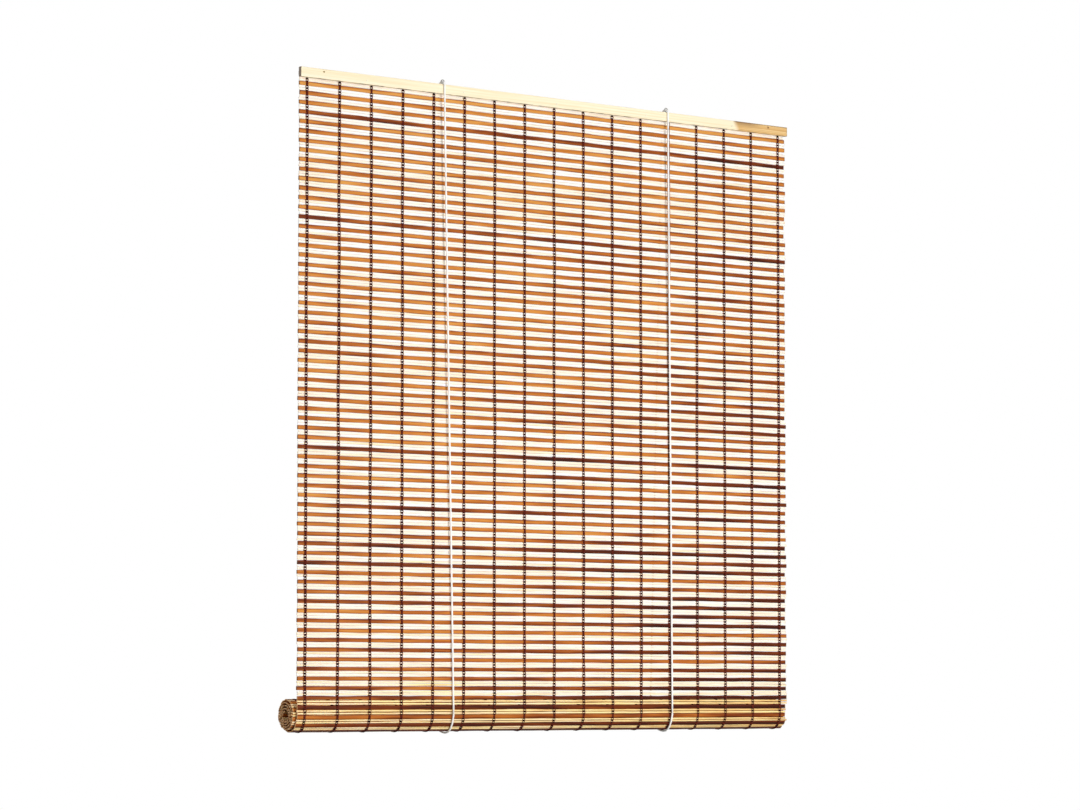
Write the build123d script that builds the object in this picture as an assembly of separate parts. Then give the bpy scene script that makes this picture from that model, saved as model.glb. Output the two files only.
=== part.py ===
from build123d import *
import os
from math import cos, hypot, pi, sin, sqrt

# A roll-up blind of woven wooden slats, drawn up part of the way: a headrail batten, the flat mat that
# hangs behind it, and the mat's lower end rolled up behind the mat on two lift cords.
# Millimetres. The origin is midway between the two wall screws, on the back face of the headrail.
# +X is to the right as seen from the room, -Y is towards the room and +Z is up.

# The headrail and its fastenings
blind_width = 1000.0
headrail_height = 16.0
headrail_thickness = 7.0
headrail_edge_radius = 0.8
screw_end_inset = 43.0
screw_below_top = 4.5
screw_hole_radius = 1.75
screw_to_mat_clearance = 0.1
nail_count = 5
nail_end_inset = 124.0
nail_head_radius = 1.5
nail_head_thickness = 0.6
nail_shank_radius = 0.7
nail_fit_clearance = 0.05

# The mat: each repeat is one brown slat and two pale slats
brown_slat_height = 6.6
brown_slat_thickness = 2.0
pale_slat_height = 3.4
pale_slat_thickness = 1.4
slat_gap = 0.65
groove_depth = 0.8
hidden_repeat_count = 1
visible_repeat_count = 66
slit_cycle_count = 5
open_in_cycle_count = 3

# The woven warps that tie the slats together
warp_count = 17
warp_end_inset = 16.0
warp_width = 4.6
warp_thickness = 1.4

# The rolled lower end
roll_turns = 5
roll_turn_gap = 2.2
roll_core_radius = 7.5
roll_warp_wrap_share = 0.55

# The lift cords, with their places along the width as shares of it
cord_diameter = 3.0
cord_clearance = 0.3
cord_bend_share = 0.65
cord_top_shares = {"left": -0.227, "right": 0.234}
cord_foot_shares = {"left": -0.209, "right": 0.245}
eye_wire_radius = 0.8
eye_clearance = 1.1
eye_shank_length = 9.0
eye_fit_clearance = 0.05
knot_length = 5.0
knot_grip = 0.2
knot_round_share = 0.4
cord_back_reach = 5.2

cut_overrun = 1.0

# Levels and depths that follow from the sizes above
headrail_top = screw_below_top
headrail_bottom = headrail_top - headrail_height
screw_spacing = blind_width - 2 * screw_end_inset
repeat_height = brown_slat_height + 2 * pale_slat_height + 3 * slat_gap
pale_depth = (brown_slat_thickness - pale_slat_thickness) / 2
mat_top = -(screw_hole_radius + screw_to_mat_clearance)
mat_repeats = hidden_repeat_count + visible_repeat_count
mat_foot = mat_top - mat_repeats * repeat_height
nail_level = mat_top - brown_slat_height / 2
warp_spacing = (blind_width - 2 * warp_end_inset) / (warp_count - 1)
warp_places = [-blind_width / 2 + warp_end_inset + i * warp_spacing for i in range(warp_count)]
nail_spacing = (blind_width - 2 * nail_end_inset) / (nail_count - 1)
nail_places = [-blind_width / 2 + nail_end_inset + i * nail_spacing for i in range(nail_count)]

# The roll's axis is level with the foot of the flat mat, and its front is in line with the mat's front
turn_pitch = brown_slat_thickness + roll_turn_gap
roll_radius = roll_core_radius + roll_turns * turn_pitch
roll_axis_depth = roll_radius
roll_axis_level = mat_foot
rolled_length = pi * (roll_radius**2 - roll_core_radius**2) / turn_pitch
roll_repeats = int(rolled_length / repeat_height)

# The cords pass under the roll, clear of its warps, and over the headrail through the screw eyes
cord_radius = cord_diameter / 2
bight_radius = roll_radius + warp_thickness + cord_clearance + cord_radius
eye_hole_radius = cord_radius + eye_clearance
eye_ring_radius = eye_hole_radius + eye_wire_radius
eye_level = headrail_top + eye_wire_radius + eye_ring_radius
eye_depth = -headrail_thickness / 2
cord_front_depth = -(headrail_thickness + cord_clearance + cord_radius)
knot_radius = eye_hole_radius + knot_grip
knot_front = eye_depth + eye_wire_radius
knot_back = knot_front + knot_length


def cylinder_along_y(radius, x, level, front, back):
    """A round bar or hole from one depth to another."""
    disc = Plane(origin=(x, front, level), z_dir=(0, 1, 0)) * Circle(radius)
    return extrude(disc, amount=back - front)


def block(x_from, x_to, y_from, y_to, z_from, z_to):
    """A box given by its two corners along each axis."""
    size = (x_to - x_from, y_to - y_from, z_to - z_from)
    middle = ((x_from + x_to) / 2, (y_from + y_to) / 2, (z_from + z_to) / 2)
    return Pos(*middle) * Box(*size)


def headrail():
    """The batten, bored for its two wall screws, its nails and the two screw eyes."""
    half = blind_width / 2
    batten = block(-half, half, -headrail_thickness, 0, headrail_bottom, headrail_top)
    batten = fillet(batten.edges().filter_by(Axis.X), headrail_edge_radius)
    front = -headrail_thickness - cut_overrun
    for side in (-1, 1):
        batten -= cylinder_along_y(screw_hole_radius, side * screw_spacing / 2, 0, front, cut_overrun)
    for x in nail_places:
        batten -= cylinder_along_y(nail_shank_radius + nail_fit_clearance, x, nail_level, front, cut_overrun)
    for share in cord_top_shares.values():
        pilot = Circle(eye_wire_radius + eye_fit_clearance)
        mouth = Plane(origin=(share * blind_width, eye_depth, headrail_top + cut_overrun))
        batten -= extrude(mouth * pilot, amount=-(eye_shank_length + eye_fit_clearance + cut_overrun))
    return batten


def headrail_nails():
    """The nails that hold the mat's top slat against the back of the headrail."""
    nails = []
    for x in nail_places:
        front = -headrail_thickness
        head = cylinder_along_y(nail_head_radius, x, nail_level, front - nail_head_thickness, front)
        shank = cylinder_along_y(nail_shank_radius, x, nail_level, front, brown_slat_thickness)
        nails.append(head + shank)
    return Compound(children=nails)


def screw_eye(side):
    """A wire eye screwed into the headrail's top edge, with its ring facing the room."""
    x = cord_top_shares[side] * blind_width
    ring = Pos(x, eye_depth, eye_level) * Rot(90, 0, 0) * Torus(eye_ring_radius, eye_wire_radius)
    foot = Plane(origin=(x, eye_depth, headrail_top - eye_shank_length))
    shank = extrude(foot * Circle(eye_wire_radius), amount=eye_shank_length + eye_wire_radius)
    return ring + shank


def face_steps():
    """The mat's face down one repeat: each slat and groove as its start, its end and its depth."""
    steps = [(0, brown_slat_height, 0)]
    start = brown_slat_height
    for _ in range(2):
        steps.append((start, start + slat_gap, groove_depth))
        start += slat_gap
        steps.append((start, start + pale_slat_height, pale_depth))
        start += pale_slat_height
    steps.append((start, repeat_height, groove_depth))
    return steps


def back_steps():
    """The mat's back down one repeat, as depths from the back of the brown slats."""
    return [(0, brown_slat_height, 0), (brown_slat_height, repeat_height, pale_depth)]


def slit_tops():
    """The levels where gaps are open: three in each five, spread evenly, apart from the first and last gap."""
    gap_drops = [start for start, end, depth in face_steps() if depth == groove_depth]
    tops = [mat_top - i * repeat_height - drop for i in range(mat_repeats) for drop in gap_drops]
    spread = [i * open_in_cycle_count % slit_cycle_count for i in range(len(tops))]
    return [top for top, place in zip(tops[1:-1], spread[1:-1]) if place < open_in_cycle_count]


def slat_mat():
    """The flat mat as one ridged wall, with slits in the grooves between its slats."""
    front = []
    back = []
    for i in range(mat_repeats):
        top = mat_top - i * repeat_height
        for start, end, depth in face_steps():
            front += [(depth, top - start), (depth, top - end)]
        for start, end, depth in back_steps():
            back += [(brown_slat_thickness - depth, top - start), (brown_slat_thickness - depth, top - end)]
    section = Plane.YZ * Polygon(*front, *reversed(back), align=None)
    wall = extrude(section, amount=blind_width / 2, both=True)
    slit_reach = blind_width / 2 - warp_end_inset
    through = (-cut_overrun, brown_slat_thickness + cut_overrun)
    cuts = [block(-slit_reach, slit_reach, *through, top - slat_gap, top) for top in slit_tops()]
    for x in nail_places:
        hole = nail_shank_radius + nail_fit_clearance
        cuts.append(cylinder_along_y(hole, x, nail_level, *through))
    return wall - cuts


def warp(x):
    """One warp on the flat mat: a strand down the front and a strand down the back."""
    half = warp_width / 2
    front = block(x - half, x + half, -warp_thickness, 0, mat_foot, headrail_bottom)
    behind = brown_slat_thickness
    back = block(x - half, x + half, behind, behind + warp_thickness, mat_foot, mat_top)
    return Compound(children=[front, back])


def roll_point(length, depth):
    """A point of the roll's section, by the length wound up to it and its depth under the outer face."""
    angle = (roll_radius - sqrt(roll_radius**2 - turn_pitch * length / pi)) * 2 * pi / turn_pitch
    radius = roll_radius - turn_pitch * angle / (2 * pi) - depth
    return (roll_axis_depth - radius * cos(angle), roll_axis_level - radius * sin(angle))


def roll():
    """The rolled end of the mat as one spiral solid, each slat a flat facet, wound down, under and back."""
    outer = []
    inner = []
    for i in range(roll_repeats):
        wound = i * repeat_height
        for start, end, depth in face_steps():
            outer += [roll_point(wound + start, depth), roll_point(wound + end, depth)]
        for start, end, depth in back_steps():
            under = brown_slat_thickness - depth
            inner += [roll_point(wound + start, under), roll_point(wound + end, under)]
    section = Plane.YZ * Polygon(*outer, *reversed(inner), align=None)
    return extrude(section, amount=blind_width / 2, both=True)


def roll_warps():
    """The warps where they run on over the outside of the roll, lying on the brown slats."""
    wraps = int(roll_warp_wrap_share * 2 * pi * roll_radius / repeat_height)
    stops = []
    for i in range(wraps):
        wound = i * repeat_height
        stops += [wound, wound + brown_slat_height, wound + (brown_slat_height + repeat_height) / 2]
    under = [roll_point(stop, 0) for stop in stops]
    over = [roll_point(stop, -warp_thickness) for stop in stops]
    section = Plane.YZ * Polygon(*under, *reversed(over), align=None)
    strand = extrude(section, amount=warp_width / 2, both=True)
    return Compound(children=[Pos(x, 0, 0) * strand for x in warp_places])


def cord_tube(points, bend_radius):
    """A round cord along straight runs joined by an arc."""
    path = FilletPolyline(*points, radius=bend_radius)
    section = Plane(origin=path @ 0, z_dir=path % 0) * Circle(cord_radius)
    return sweep(section, path=path)


def cord_front(side):
    """The cord's front run: up the mat from the roll, over the headrail and through the eye to its knot."""
    top = cord_top_shares[side] * blind_width
    foot = cord_foot_shares[side] * blind_width
    points = [
        (foot, roll_axis_depth - bight_radius, roll_axis_level + cord_clearance),
        (top, cord_front_depth, eye_level),
        (top, knot_front, eye_level),
    ]
    return cord_tube(points, cord_bend_share * (knot_front - cord_front_depth))


def cord_back(side):
    """The cord's back run: from the knot down behind the mat to the back of the roll."""
    top = cord_top_shares[side] * blind_width
    foot = cord_foot_shares[side] * blind_width
    points = [
        (top, knot_back, eye_level),
        (top, knot_back + cord_back_reach, eye_level),
        (foot, roll_axis_depth + bight_radius, roll_axis_level + cord_clearance),
    ]
    return cord_tube(points, cord_bend_share * cord_back_reach)


def cord_bight(side):
    """The half turn of cord that carries the roll from below."""
    foot = cord_foot_shares[side] * blind_width
    start = Plane(origin=(foot, roll_axis_depth - bight_radius, roll_axis_level)) * Circle(cord_radius)
    axle = Axis((0, roll_axis_depth, roll_axis_level), (1, 0, 0))
    return revolve(start, axis=axle, revolution_arc=180)


def cord_knot(side):
    """The stopper knot behind the eye, a plain rounded barrel."""
    x = cord_top_shares[side] * blind_width
    barrel = cylinder_along_y(knot_radius, x, eye_level, knot_front, knot_back)
    return fillet(barrel.edges().filter_by(GeomType.CIRCLE), knot_round_share * knot_radius)


pieces = {
    "headrail": headrail(),
    "headrail_nails": headrail_nails(),
    "slat_mat": slat_mat(),
    "roll": roll(),
    "roll_warps": roll_warps(),
}
for number, place in enumerate(warp_places, start=1):
    pieces[f"warp_{number:02d}"] = warp(place)
for side in ("left", "right"):
    pieces[f"screw_eye_{side}"] = screw_eye(side)
    pieces[f"cord_knot_{side}"] = cord_knot(side)
    pieces[f"cord_front_{side}"] = cord_front(side)
    pieces[f"cord_back_{side}"] = cord_back(side)
    pieces[f"cord_bight_{side}"] = cord_bight(side)

os.makedirs("parts", exist_ok=True)
for name, piece in pieces.items():
    export_step(piece, f"parts/{name}.step")

for side in ("left", "right"):
    run = hypot(eye_level - roll_axis_level, cord_front_depth - (roll_axis_depth - bight_radius))
    bend = cord_bend_share * (knot_front - cord_front_depth)
    print(f"cord {side}: front run {run:.1f}, bend radius {bend:.2f}, bight radius {bight_radius:.2f}")
print(f"repeat {repeat_height:.2f}, roll radius {roll_radius:.2f}, rolled length {rolled_length:.1f}")
print(f"roll axis depth {roll_axis_depth:.2f}, level {roll_axis_level:.2f}, eye level {eye_level:.2f}")
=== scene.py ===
import functools
import math
import bpy
import numpy as np
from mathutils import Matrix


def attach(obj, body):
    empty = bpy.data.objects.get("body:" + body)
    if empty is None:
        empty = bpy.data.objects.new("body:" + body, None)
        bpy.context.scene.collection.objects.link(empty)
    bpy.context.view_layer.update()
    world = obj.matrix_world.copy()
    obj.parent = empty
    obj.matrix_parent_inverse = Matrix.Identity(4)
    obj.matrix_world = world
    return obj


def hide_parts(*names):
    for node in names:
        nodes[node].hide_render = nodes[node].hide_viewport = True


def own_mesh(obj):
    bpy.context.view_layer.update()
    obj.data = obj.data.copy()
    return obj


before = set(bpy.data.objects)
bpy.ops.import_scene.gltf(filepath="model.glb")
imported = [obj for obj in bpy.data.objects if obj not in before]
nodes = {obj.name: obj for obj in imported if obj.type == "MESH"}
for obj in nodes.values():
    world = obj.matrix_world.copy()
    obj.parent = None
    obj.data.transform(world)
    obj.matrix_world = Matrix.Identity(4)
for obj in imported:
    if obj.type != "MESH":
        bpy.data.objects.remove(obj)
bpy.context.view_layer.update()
mm = 0.001
rollAxisLevel = -1030.3  # mm, with the roll at rest
rng = np.random.default_rng(41)
print("frame loaded:", len(nodes), "nodes")

# well to the left of the blind, level with its foot and looking slightly up
cameraSettings = {"place": (-3.184, -4.504, -0.9935), "tilt": 93.29, "turn": -35.01, "lens": 110,
                  "sensor": 36, "shift": 0.09}
cameraData = bpy.data.cameras.new("camera")
cameraData.lens = cameraSettings["lens"]
cameraData.sensor_width = cameraSettings["sensor"]
cameraData.shift_y = cameraSettings["shift"]
camera = bpy.data.objects.new("camera", cameraData)
camera.location = cameraSettings["place"]
camera.rotation_euler = (math.radians(cameraSettings["tilt"]), 0, math.radians(cameraSettings["turn"]))
bpy.context.scene.collection.objects.link(camera)
bpy.context.scene.camera = camera


# sRGB hex to the linear colour that a socket wants
def linearColour(hexValue):
    channels = [int(hexValue[i:i + 2], 16) / 255 for i in (1, 3, 5)]
    return [c / 12.92 if c <= 0.04045 else ((c + 0.055) / 1.055) ** 2.4 for c in channels] + [1.0]


# adds a node: settings by name, a ramp's colour stops in rising order, and inputs as values or as sockets to
# link; a colour mix has its share on input 0, its colours on 6 and 7, and the mix on output 2
def addNode(tree, kind, inputs=None, stops=None, **settings):
    node = tree.nodes.new(kind)
    for name, value in settings.items():
        setattr(node, name, value)
    if stops:
        ramp = node.color_ramp.elements
        ramp[0].position, ramp[1].position = stops[0][0], stops[-1][0]
        for stop in stops[1:-1]:
            ramp.new(stop[0])
        for element, stop in zip(ramp, stops):
            element.color = linearColour(stop[1])
    for key, value in (inputs or {}).items():
        if isinstance(value, bpy.types.NodeSocket):
            tree.links.new(value, node.inputs[key])
        else:
            node.inputs[key].default_value = value
    return node


# an empty material, and addNode tied to its tree
def newMaterial(name):
    material = bpy.data.materials.new(name)
    material.use_nodes = True
    material.node_tree.nodes.clear()
    return material, functools.partial(addNode, material.node_tree)


# willow strip, split and stained: satin, long streaks, a redder upper edge, and each strip in its own tone
def stainedWillow():
    material, add = newMaterial("stained willow strip, satin")
    tone, across, grain, shade, sawn = (add("ShaderNodeAttribute", attribute_name=name)
                                        for name in ("tone", "across", "grain", "shade", "cut"))
    # streaks 45 mm long and 0.8 mm wide: 22 and 1250 to the metre
    fine = add("ShaderNodeMapping", {"Vector": grain.outputs["Vector"], "Scale": (22, 1250, 40)})
    streaks = add("ShaderNodeTexNoise", {"Vector": fine.outputs[0], "Scale": 1.0, "Detail": 3.0})
    # blotches 90 mm long and 5 mm wide: 11 and 200 to the metre
    broad = add("ShaderNodeMapping", {"Vector": grain.outputs["Vector"], "Scale": (11, 200, 40)})
    blotches = add("ShaderNodeTexNoise", {"Vector": broad.outputs[0], "Scale": 1.0, "Detail": 2.0})
    shift = add("ShaderNodeMapRange", {"Value": blotches.outputs[0], "From Min": 0.3, "From Max": 0.7,
                                       "To Min": -0.2, "To Max": 0.2})
    toned = add("ShaderNodeMath", {0: tone.outputs["Fac"], 1: shift.outputs[0]}, operation="ADD")
    stain = add("ShaderNodeValToRGB", {0: toned.outputs[0]},
                stops=[(0.0, "#DB994C"), (0.25, "#CC7F35"), (0.5, "#AF6023"), (0.75, "#79360F"),
                       (1.0, "#3C1506")])
    wear = add("ShaderNodeMapRange", {"Value": streaks.outputs[0], "From Min": 0.25, "From Max": 0.75,
                                      "To Min": 0.78, "To Max": 1.1})
    streaked = add("ShaderNodeMix", {0: 1.0, 6: stain.outputs[0], 7: wear.outputs[0]},
                   data_type="RGBA", blend_type="MULTIPLY")
    # painted shade darkens the upper edge to a red brown, unevenly
    edge = add("ShaderNodeMath", {0: across.outputs["Fac"], 1: shift.outputs[0]}, operation="ADD")
    upperShade = add("ShaderNodeMapRange", {"Value": edge.outputs[0], "From Min": 0.3, "From Max": 0.9,
                                      "To Max": 0.62})
    upperShaded = add("ShaderNodeMix", {0: upperShade.outputs[0], 6: streaked.outputs[2], 7: linearColour("#863A28")},
                 data_type="RGBA")
    # painted shade darkens both long edges raggedly over about their last 0.8 mm, most of all on the roll
    edgeShadeDepth = add("ShaderNodeMapRange", {"Value": shade.outputs["Fac"], "To Min": 0.5, "To Max": 1.0})
    toEdge = add("ShaderNodeMath", {0: across.outputs["Fac"]}, operation="ABSOLUTE")
    ragged = add("ShaderNodeMath", {0: toEdge.outputs[0], 1: shift.outputs[0]}, operation="ADD")
    rim = add("ShaderNodeMapRange", {"Value": ragged.outputs[0], "From Min": 0.76, "From Max": 1.0,
                                     "To Max": edgeShadeDepth.outputs[0]})
    edgeShaded = add("ShaderNodeMix", {0: rim.outputs[0], 6: upperShaded.outputs[2], 7: linearColour("#2C100A")},
                 data_type="RGBA")
    # sawn ends are dull brown, and paler on the roll
    endShare = add("ShaderNodeMath", {0: sawn.outputs["Fac"], 1: 0.85}, operation="MULTIPLY")
    endWood = add("ShaderNodeMix", {0: shade.outputs["Fac"], 6: linearColour("#6E4A2C"),
                                    7: linearColour("#D2A470")}, data_type="RGBA")
    colour = add("ShaderNodeMix", {0: endShare.outputs[0], 6: edgeShaded.outputs[2], 7: endWood.outputs[2]},
                 data_type="RGBA")
    dull = add("ShaderNodeMapRange", {"Value": streaks.outputs[0], "To Min": 0.62, "To Max": 0.42})
    bump = add("ShaderNodeBump", {"Height": streaks.outputs[0], "Distance": 0.25 * mm, "Strength": 0.5})
    shader = add("ShaderNodeBsdfPrincipled", {
        "Base Color": colour.outputs[2], "Roughness": dull.outputs[0], "IOR": 1.5, "Specular IOR Level": 0.1,
        "Normal": bump.outputs[0]})
    add("ShaderNodeOutputMaterial", {"Surface": shader.outputs[0]})
    return material


# willow strip, peeled and raw: near white, thin enough to glow with light behind it, and painted yellower
# where doubled, as shade for the light that the roll blocks
def peeledWillow():
    material, add = newMaterial("peeled willow strip, raw")
    tone, across, grain, shade, sawn = (add("ShaderNodeAttribute", attribute_name=name)
                                        for name in ("tone", "across", "grain", "shade", "cut"))
    # streaks 60 mm long and 0.7 mm wide: 17 and 1400 to the metre
    fine = add("ShaderNodeMapping", {"Vector": grain.outputs["Vector"], "Scale": (17, 1400, 40)})
    streaks = add("ShaderNodeTexNoise", {"Vector": fine.outputs[0], "Scale": 1.0, "Detail": 3.0})
    shift = add("ShaderNodeMapRange", {"Value": streaks.outputs[0], "From Min": 0.3, "From Max": 0.7,
                                       "To Min": -0.07, "To Max": 0.08})
    toned = add("ShaderNodeMath", {0: tone.outputs["Fac"], 1: shift.outputs[0]}, operation="ADD")
    raw = add("ShaderNodeValToRGB", {0: toned.outputs[0]},
              stops=[(0.0, "#FFFCF7"), (0.3, "#FEE9D0"), (0.62, "#FFE6A6"), (1.0, "#D6A55A")])
    # patches 70 mm long and 6 mm wide, 14 and 170 to the metre, make the painted edge shade wider and
    # narrower
    broad = add("ShaderNodeMapping", {"Vector": grain.outputs["Vector"], "Scale": (14, 170, 40)})
    patches = add("ShaderNodeTexNoise", {"Vector": broad.outputs[0], "Scale": 1.0, "Detail": 2.0})
    wedge = add("ShaderNodeMapRange", {"Value": patches.outputs[0], "From Min": 0.32, "From Max": 0.68,
                                       "To Min": -0.24, "To Max": 0.24})
    wedgeDepth = add("ShaderNodeMapRange", {"Value": shade.outputs["Fac"], "To Min": 0.6, "To Max": 1.0})
    wedgeShare = add("ShaderNodeMath", {0: wedge.outputs[0], 1: wedgeDepth.outputs[0]}, operation="MULTIPLY")
    uneven = add("ShaderNodeMath", {0: shift.outputs[0], 1: wedgeShare.outputs[0]}, operation="ADD")
    edge = add("ShaderNodeMath", {0: across.outputs["Fac"]}, operation="ABSOLUTE")
    rough = add("ShaderNodeMath", {0: edge.outputs[0], 1: uneven.outputs[0]}, operation="ADD")
    # painted shade: a tan band along both edges, on the roll alone
    tanDepth = add("ShaderNodeMath", {0: shade.outputs["Fac"], 1: 0.8}, operation="MULTIPLY")
    tanShare = add("ShaderNodeMapRange", {"Value": rough.outputs[0], "From Min": 0.36, "From Max": 0.9,
                                          "To Max": tanDepth.outputs[0]})
    tanned = add("ShaderNodeMix", {0: tanShare.outputs[0], 6: raw.outputs[0], 7: linearColour("#D88C38")},
                 data_type="RGBA")
    # painted shade at the gaps: a darker rim outside it, deeper and browner on the yellower strips
    deepest = add("ShaderNodeMapRange", {"Value": tone.outputs["Fac"], "From Min": 0.2, "From Max": 0.6,
                                         "To Min": 0.55, "To Max": 0.95})
    rim = add("ShaderNodeMapRange", {"Value": rough.outputs[0], "From Min": 0.72, "From Max": 1.0,
                                     "To Max": deepest.outputs[0]})
    gapShade = add("ShaderNodeValToRGB", {0: tone.outputs["Fac"]}, stops=[(0.2, "#C99A66"), (0.45, "#6A3812")])
    edged = add("ShaderNodeMix", {0: rim.outputs[0], 6: tanned.outputs[2], 7: gapShade.outputs[0]},
                data_type="RGBA")
    # sawn ends show on the roll
    endShare = add("ShaderNodeMath", {0: sawn.outputs["Fac"], 1: shade.outputs["Fac"]}, operation="MULTIPLY")
    colour = add("ShaderNodeMix", {0: endShare.outputs[0], 6: edged.outputs[2], 7: linearColour("#F0C292")},
                 data_type="RGBA")
    bump = add("ShaderNodeBump", {"Height": streaks.outputs[0], "Distance": 0.15 * mm, "Strength": 0.4})
    shader = add("ShaderNodeBsdfPrincipled", {
        "Base Color": colour.outputs[2], "Roughness": 0.58, "IOR": 1.5, "Specular IOR Level": 0.2,
        "Normal": bump.outputs[0], "Subsurface Weight": 0.3, "Subsurface Radius": (1.0, 0.85, 0.6),
        "Subsurface Scale": 1.2 * mm})
    add("ShaderNodeOutputMaterial", {"Surface": shader.outputs[0]})
    return material


# pine batten, planed and bare: fine growth lines along it, a darker golden tone at its right end, brown ends
def planedPine():
    material, add = newMaterial("planed pine batten")
    place = add("ShaderNodeTexCoord")
    axes = add("ShaderNodeSeparateXYZ", {0: place.outputs["Object"]})
    # growth lines 1.6 mm apart that drift over 200 mm: 620 and 5 to the metre
    lines = add("ShaderNodeMapping", {"Vector": place.outputs["Object"], "Scale": (5, 620, 620)})
    growth = add("ShaderNodeTexNoise", {"Vector": lines.outputs[0], "Scale": 1.0, "Detail": 2.0})
    # a fleck 6 mm long and 0.5 mm wide: 160 and 2000 to the metre
    specks = add("ShaderNodeMapping", {"Vector": place.outputs["Object"], "Scale": (160, 2000, 2000)})
    fleck = add("ShaderNodeTexNoise", {"Vector": specks.outputs[0], "Scale": 1.0, "Detail": 1.0})
    bare = add("ShaderNodeValToRGB", {0: growth.outputs[0]},
               stops=[(0.3, "#F5EACD"), (0.5, "#F2E4C2"), (0.74, "#E7D5AA")])
    rightEndTone = add("ShaderNodeValToRGB", {0: growth.outputs[0]},
                    stops=[(0.3, "#E4C286"), (0.5, "#D5AA69"), (0.75, "#BA8A4A")])
    # the darker golden tone starts softly, about 381 mm along the top edge and 8 mm further along the lower
    # one
    slant = add("ShaderNodeMath", {0: axes.outputs["Z"], 1: 0.5}, operation="MULTIPLY")
    leaning = add("ShaderNodeMath", {0: axes.outputs["X"], 1: slant.outputs[0]}, operation="ADD")
    edgeDrift = add("ShaderNodeMath", {0: fleck.outputs[0], 1: 6 * mm}, operation="MULTIPLY")
    drifted = add("ShaderNodeMath", {0: leaning.outputs[0], 1: edgeDrift.outputs[0]}, operation="ADD")
    golden = add("ShaderNodeMapRange", {"Value": drifted.outputs[0], "From Min": 382 * mm,
                                        "From Max": 392 * mm})
    coated = add("ShaderNodeMix", {0: golden.outputs[0], 6: bare.outputs[0], 7: rightEndTone.outputs[0]},
                 data_type="RGBA")
    # a dark brown patch under the top edge, strongest from 385 to 418 mm
    patchEnd = add("ShaderNodeMapRange", {"Value": axes.outputs["X"], "From Min": 418 * mm,
                                          "From Max": 446 * mm, "To Min": 1.0, "To Max": 0.0})
    patchDown = add("ShaderNodeMapRange", {"Value": axes.outputs["Z"], "From Min": -6 * mm,
                                           "From Max": 4 * mm, "To Max": 0.75})
    patchFace = add("ShaderNodeMath", {0: patchEnd.outputs[0], 1: patchDown.outputs[0]},
                    operation="MULTIPLY")
    patchShare = add("ShaderNodeMath", {0: patchFace.outputs[0], 1: golden.outputs[0]}, operation="MULTIPLY")
    darkPatched = add("ShaderNodeMix", {0: patchShare.outputs[0], 6: coated.outputs[2],
                                  7: linearColour("#7C5630")}, data_type="RGBA")
    # dark dashes of about 26 mm, 38 to the metre: grime and painted shade along the lower edge, and a dark
    # line along the top edge of the golden end
    dashes = add("ShaderNodeMapping", {"Vector": place.outputs["Object"], "Scale": (38, 0, 0)})
    broken = add("ShaderNodeTexNoise", {"Vector": dashes.outputs[0], "Scale": 1.0, "Detail": 2.0})
    dashShare = add("ShaderNodeMapRange", {"Value": broken.outputs[0], "From Min": 0.42, "From Max": 0.58,
                                           "To Max": 0.9})
    low = add("ShaderNodeMapRange", {"Value": axes.outputs["Z"], "From Min": -10.9 * mm,
                                     "From Max": -11.4 * mm, "To Max": dashShare.outputs[0]})
    high = add("ShaderNodeMapRange", {"Value": axes.outputs["Z"], "From Min": 2.2 * mm, "From Max": 4.2 * mm,
                                      "To Max": 0.9})
    highEnd = add("ShaderNodeMath", {0: high.outputs[0], 1: golden.outputs[0]}, operation="MULTIPLY")
    patchy = add("ShaderNodeMapRange", {"Value": fleck.outputs[0], "From Min": 0.35, "From Max": 0.6,
                                        "To Min": 0.35, "To Max": 1.0})
    edges = add("ShaderNodeMath", {0: low.outputs[0], 1: highEnd.outputs[0]}, operation="MAXIMUM")
    grimeAndShade = add("ShaderNodeMath", {0: edges.outputs[0], 1: patchy.outputs[0]}, operation="MULTIPLY")
    grimedAndShaded = add("ShaderNodeMix", {0: grimeAndShade.outputs[0], 6: darkPatched.outputs[2], 7: linearColour("#4A3426")},
                data_type="RGBA")
    # end grain on the last half millimetre, its brown partly painted shade for the end faces
    reach = add("ShaderNodeMath", {0: axes.outputs["X"]}, operation="ABSOLUTE")
    sawn = add("ShaderNodeMapRange", {"Value": reach.outputs[0], "From Min": 499.2 * mm,
                                      "From Max": 499.7 * mm, "To Max": 0.9})
    colour = add("ShaderNodeMix", {0: sawn.outputs[0], 6: grimedAndShaded.outputs[2], 7: linearColour("#5A3C1E")},
                 data_type="RGBA")
    dull = add("ShaderNodeMapRange", {"Value": golden.outputs[0], "To Min": 0.6, "To Max": 0.42})
    bump = add("ShaderNodeBump", {"Height": growth.outputs[0], "Distance": 0.2 * mm, "Strength": 0.4})
    shader = add("ShaderNodeBsdfPrincipled", {"Base Color": colour.outputs[2], "Roughness": dull.outputs[0],
                                              "IOR": 1.5, "Normal": bump.outputs[0]})
    add("ShaderNodeOutputMaterial", {"Surface": shader.outputs[0]})
    return material


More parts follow.
